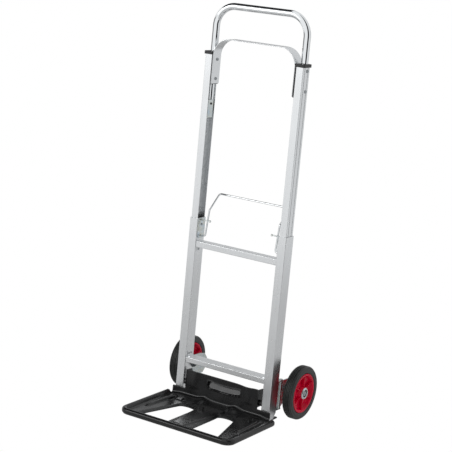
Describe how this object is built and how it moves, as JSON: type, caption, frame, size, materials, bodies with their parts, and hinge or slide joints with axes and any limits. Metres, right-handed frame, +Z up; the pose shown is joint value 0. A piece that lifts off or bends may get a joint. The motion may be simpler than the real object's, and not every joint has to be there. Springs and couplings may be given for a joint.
{
  "type": "folding hand truck",
  "caption": "Folding hand truck: telescoping aluminium frame, sliding chrome handle, wire release bail, folding black toe plate with windows and folding red-hubbed wheels.",
  "frame": {"origin": "centre of the footprint at floor level", "axes": "+Z up along the rails, +X across the truck, the toe plate points to -Y"},
  "size_m": [0.412, 0.41, 1.11],
  "materials": {
    "anodised_aluminium": "satin anodised",
    "zinc_plated_steel": "bright zinc",
    "rivet_steel": "plain",
    "chrome_steel": "polished",
    "black_nylon": "moulded",
    "black_powder_coat": "semi-gloss powder coat",
    "tyre_rubber": "moulded rubber",
    "red_polypropylene": "moulded"
  },
  "bodies": {
    "frame": {"left_lower_rail": "anodised_aluminium", "right_lower_rail": "anodised_aluminium", "left_foot_plug": "black_nylon", "right_foot_plug": "black_nylon", "left_slide_liner": "black_nylon", "right_slide_liner": "black_nylon", "left_latch_plate": "zinc_plated_steel", "right_latch_plate": "zinc_plated_steel", "latch_rivets": "rivet_steel", "upper_crossbar": "anodised_aluminium", "lower_crossbar": "anodised_aluminium", "crossbar_lugs": "anodised_aluminium", "crossbar_rivets": "rivet_steel", "left_hinge_bracket": "zinc_plated_steel", "right_hinge_bracket": "zinc_plated_steel", "hinge_pins": "zinc_plated_steel", "bracket_rivets": "rivet_steel", "toe_bolts": "zinc_plated_steel"},
    "mid_frame": {"left_mid_rail": "anodised_aluminium", "right_mid_rail": "anodised_aluminium", "left_slide_shoe": "black_nylon", "right_slide_shoe": "black_nylon", "left_strap_guide": "black_nylon", "right_strap_guide": "black_nylon", "left_rail_collar": "black_nylon", "right_rail_collar": "black_nylon", "top_strap": "anodised_aluminium", "strap_screws": "rivet_steel", "guide_rivets": "rivet_steel"},
    "handle": {"handle_tube": "chrome_steel", "left_handle_clip": "zinc_plated_steel", "right_handle_clip": "zinc_plated_steel"},
    "left_button": {"left_snap_button": "black_nylon"},
    "right_button": {"right_snap_button": "black_nylon"},
    "bail": {"release_bail": "chrome_steel"},
    "left_pin": {"left_lock_pin": "zinc_plated_steel"},
    "right_pin": {"right_lock_pin": "zinc_plated_steel"},
    "toe": {"toe_plate": "black_powder_coat", "toe_bushings": "black_nylon"},
    "left_arm": {"left_wheel_arm": "zinc_plated_steel", "left_stub_axle": "rivet_steel", "left_axle_spacer": "rivet_steel", "left_axle_clip": "rivet_steel"},
    "right_arm": {"right_wheel_arm": "zinc_plated_steel", "right_stub_axle": "rivet_steel", "right_axle_spacer": "rivet_steel", "right_axle_clip": "rivet_steel"},
    "left_wheel": {"left_tyre": "tyre_rubber", "left_wheel_hub": "red_polypropylene", "left_wheel_bushing": "black_nylon", "left_hub_cap": "chrome_steel"},
    "right_wheel": {"right_tyre": "tyre_rubber", "right_wheel_hub": "red_polypropylene", "right_wheel_bushing": "black_nylon", "right_hub_cap": "chrome_steel"}
  },
  "joints": [
    {"name": "mid_frame_slide", "type": "slide", "parent": "frame", "child": "mid_frame", "axis": [0, 0, 1], "range_m": [-0.368, 0]},
    {"name": "handle_slide", "type": "slide", "parent": "mid_frame", "child": "handle", "axis": [0, 0, 1], "range_m": [-0.065, 0]},
    {"name": "left_button_press", "type": "slide", "parent": "handle", "child": "left_button", "axis": [-1, 0, 0], "range_m": [0, 0.002], "stiffness_N_per_m": 400, "springref_m": -0.001},
    {"name": "right_button_press", "type": "slide", "parent": "handle", "child": "right_button", "axis": [1, 0, 0], "range_m": [0, 0.002], "stiffness_N_per_m": 400, "springref_m": -0.001},
    {"name": "bail_swing", "type": "hinge", "parent": "frame", "child": "bail", "pos_m": [0, 0.048, 0.468], "axis": [-1, 0, 0], "range_deg": [0, 25], "stiffness_Nm_per_rad": 0.5, "springref_deg": -8.59},
    {"name": "left_pin_draw", "type": "slide", "parent": "frame", "child": "left_pin", "axis": [1, 0, 0], "range_m": [0, 0.0081]},
    {"name": "right_pin_draw", "type": "slide", "parent": "frame", "child": "right_pin", "axis": [-1, 0, 0], "range_m": [0, 0.0081]},
    {"name": "toe_fold", "type": "hinge", "parent": "frame", "child": "toe", "pos_m": [0, 0.038, 0.048], "axis": [-1, 0, 0], "range_deg": [0, 90]},
    {"name": "right_arm_fold", "type": "hinge", "parent": "frame", "child": "right_arm", "pos_m": [0.149, 0.088, 0.075], "axis": [0, 0, 1], "range_deg": [0, 90.1]},
    {"name": "left_arm_fold", "type": "hinge", "parent": "frame", "child": "left_arm", "pos_m": [-0.149, 0.088, 0.075], "axis": [0, 0, -1], "range_deg": [0, 90.1]},
    {"name": "right_wheel_spin", "type": "hinge", "parent": "right_arm", "child": "right_wheel", "pos_m": [0.188, 0.13, 0.075], "axis": [1, 0, 0], "continuous": true},
    {"name": "left_wheel_spin", "type": "hinge", "parent": "left_arm", "child": "left_wheel", "pos_m": [-0.188, 0.13, 0.075], "axis": [1, 0, 0], "continuous": true}
  ],
  "couplings": [
    {"joint": "left_pin_draw", "follows": "bail_swing", "m_per_rad": 0.018},
    {"joint": "right_pin_draw", "follows": "bail_swing", "m_per_rad": 0.018},
    {"joint": "right_arm_fold", "follows": "toe_fold", "ratio": 1},
    {"joint": "left_arm_fold", "follows": "toe_fold", "ratio": 1}
  ]
}
